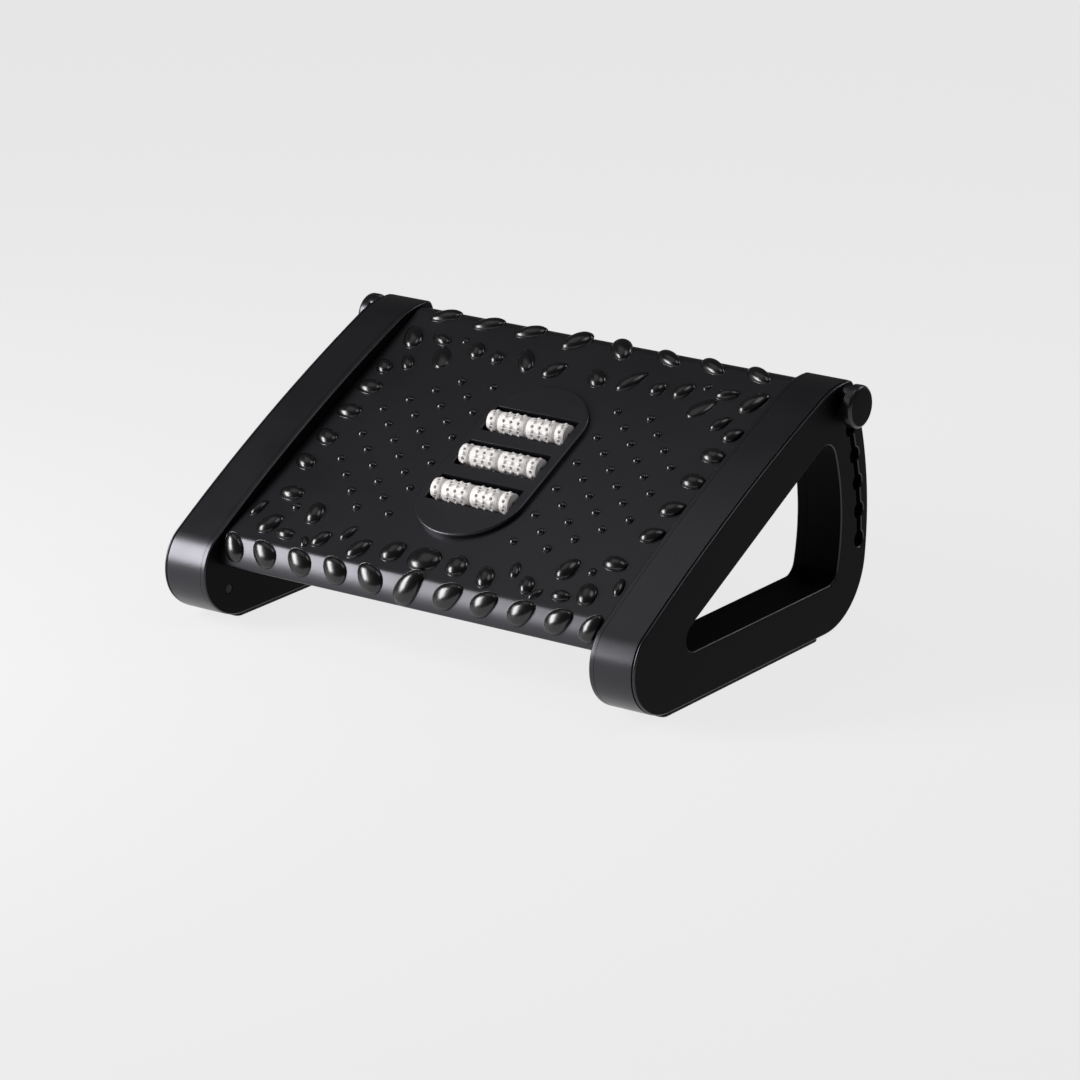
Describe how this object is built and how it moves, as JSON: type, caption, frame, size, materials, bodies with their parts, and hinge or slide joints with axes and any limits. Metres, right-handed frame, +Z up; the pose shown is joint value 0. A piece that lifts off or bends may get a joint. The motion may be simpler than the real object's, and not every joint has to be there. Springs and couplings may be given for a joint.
{
  "type": "footrest",
  "caption": "Under-desk footrest with a tilting board that carries massage pebbles and nubbed rollers between two triangular side frames.",
  "frame": {"origin": "on the floor, under the middle of the box around the footrest", "axes": "+X to the right across the footrest, +Y to the rear (the high edge), +Z up"},
  "size_m": [0.4636, 0.3189, 0.2004],
  "materials": {
    "black_shell": "satin with a fine grain",
    "board_black": "satin, brighter on the pebbles",
    "white_nylon": "warm white, as moulded",
    "foot_rubber": "matt",
    "bright_steel": "drawn bar, bright zinc on the screws",
    "insert_brass": "turned"
  },
  "bodies": {
    "stand": {"frame_outer_left": "black_shell", "frame_inner_left": "black_shell", "foot_strip_left": "foot_rubber", "frame_outer_right": "black_shell", "frame_inner_right": "black_shell", "foot_strip_right": "foot_rubber", "frame_screw_front_left": "bright_steel", "frame_screw_bottom_left": "bright_steel", "frame_screw_heel_left": "bright_steel", "frame_screw_slope_left": "bright_steel", "frame_screw_front_right": "bright_steel", "frame_screw_bottom_right": "bright_steel", "frame_screw_heel_right": "bright_steel", "frame_screw_slope_right": "bright_steel", "front_rod": "bright_steel"},
    "board": {"footboard": "board_black", "roller_tray": "board_black", "tray_screw_front_left": "bright_steel", "tray_screw_rear_left": "bright_steel", "tray_screw_front_right": "bright_steel", "tray_screw_rear_right": "bright_steel", "axle_front": "bright_steel", "axle_middle": "bright_steel", "axle_rear": "bright_steel", "rear_rod": "bright_steel", "slide_bush_left": "white_nylon", "slide_bush_right": "white_nylon"},
    "knob_left": {"knob_left": "black_shell", "knob_insert_left": "insert_brass"},
    "knob_right": {"knob_right": "black_shell", "knob_insert_right": "insert_brass"},
    "roller_front_left_end": {"roller_front_left_end": "white_nylon"},
    "roller_front_left": {"roller_front_left": "white_nylon"},
    "roller_front_right": {"roller_front_right": "white_nylon"},
    "roller_front_right_end": {"roller_front_right_end": "white_nylon"},
    "roller_middle_left_end": {"roller_middle_left_end": "white_nylon"},
    "roller_middle_left": {"roller_middle_left": "white_nylon"},
    "roller_middle_right": {"roller_middle_right": "white_nylon"},
    "roller_middle_right_end": {"roller_middle_right_end": "white_nylon"},
    "roller_rear_left_end": {"roller_rear_left_end": "white_nylon"},
    "roller_rear_left": {"roller_rear_left": "white_nylon"},
    "roller_rear_right": {"roller_rear_right": "white_nylon"},
    "roller_rear_right_end": {"roller_rear_right_end": "white_nylon"}
  },
  "joints": [
    {"name": "board_tilt", "type": "hinge", "parent": "stand", "child": "board", "pos_m": [0, -0.129, 0.067], "axis": [1, 0, 0], "range_deg": [-24.09, 0]},
    {"name": "knob_left_turn", "type": "hinge", "parent": "board", "child": "knob_left", "pos_m": [-0.224, 0.12298, 0.1807], "axis": [1, 0, 0], "continuous": true},
    {"name": "knob_right_turn", "type": "hinge", "parent": "board", "child": "knob_right", "pos_m": [0.224, 0.12298, 0.1807], "axis": [1, 0, 0], "continuous": true},
    {"name": "roller_front_left_end_turn", "type": "hinge", "parent": "board", "child": "roller_front_left_end", "pos_m": [-0.03165, -0.0535, 0.11346], "axis": [1, 0, 0], "continuous": true},
    {"name": "roller_front_left_turn", "type": "hinge", "parent": "board", "child": "roller_front_left", "pos_m": [-0.0133, -0.0535, 0.11346], "axis": [1, 0, 0], "continuous": true},
    {"name": "roller_front_right_turn", "type": "hinge", "parent": "board", "child": "roller_front_right", "pos_m": [0.0133, -0.0535, 0.11346], "axis": [1, 0, 0], "continuous": true},
    {"name": "roller_front_right_end_turn", "type": "hinge", "parent": "board", "child": "roller_front_right_end", "pos_m": [0.03165, -0.0535, 0.11346], "axis": [1, 0, 0], "continuous": true},
    {"name": "roller_middle_left_end_turn", "type": "hinge", "parent": "board", "child": "roller_middle_left_end", "pos_m": [-0.03165, -0.01719, 0.1314], "axis": [1, 0, 0], "continuous": true},
    {"name": "roller_middle_left_turn", "type": "hinge", "parent": "board", "child": "roller_middle_left", "pos_m": [-0.0133, -0.01719, 0.1314], "axis": [1, 0, 0], "continuous": true},
    {"name": "roller_middle_right_turn", "type": "hinge", "parent": "board", "child": "roller_middle_right", "pos_m": [0.0133, -0.01719, 0.1314], "axis": [1, 0, 0], "continuous": true},
    {"name": "roller_middle_right_end_turn", "type": "hinge", "parent": "board", "child": "roller_middle_right_end", "pos_m": [0.03165, -0.01719, 0.1314], "axis": [1, 0, 0], "continuous": true},
    {"name": "roller_rear_left_end_turn", "type": "hinge", "parent": "board", "child": "roller_rear_left_end", "pos_m": [-0.03165, 0.01912, 0.14934], "axis": [1, 0, 0], "continuous": true},
    {"name": "roller_rear_left_turn", "type": "hinge", "parent": "board", "child": "roller_rear_left", "pos_m": [-0.0133, 0.01912, 0.14934], "axis": [1, 0, 0], "continuous": true},
    {"name": "roller_rear_right_turn", "type": "hinge", "parent": "board", "child": "roller_rear_right", "pos_m": [0.0133, 0.01912, 0.14934], "axis": [1, 0, 0], "continuous": true},
    {"name": "roller_rear_right_end_turn", "type": "hinge", "parent": "board", "child": "roller_rear_right_end", "pos_m": [0.03165, 0.01912, 0.14934], "axis": [1, 0, 0], "continuous": true}
  ]
}
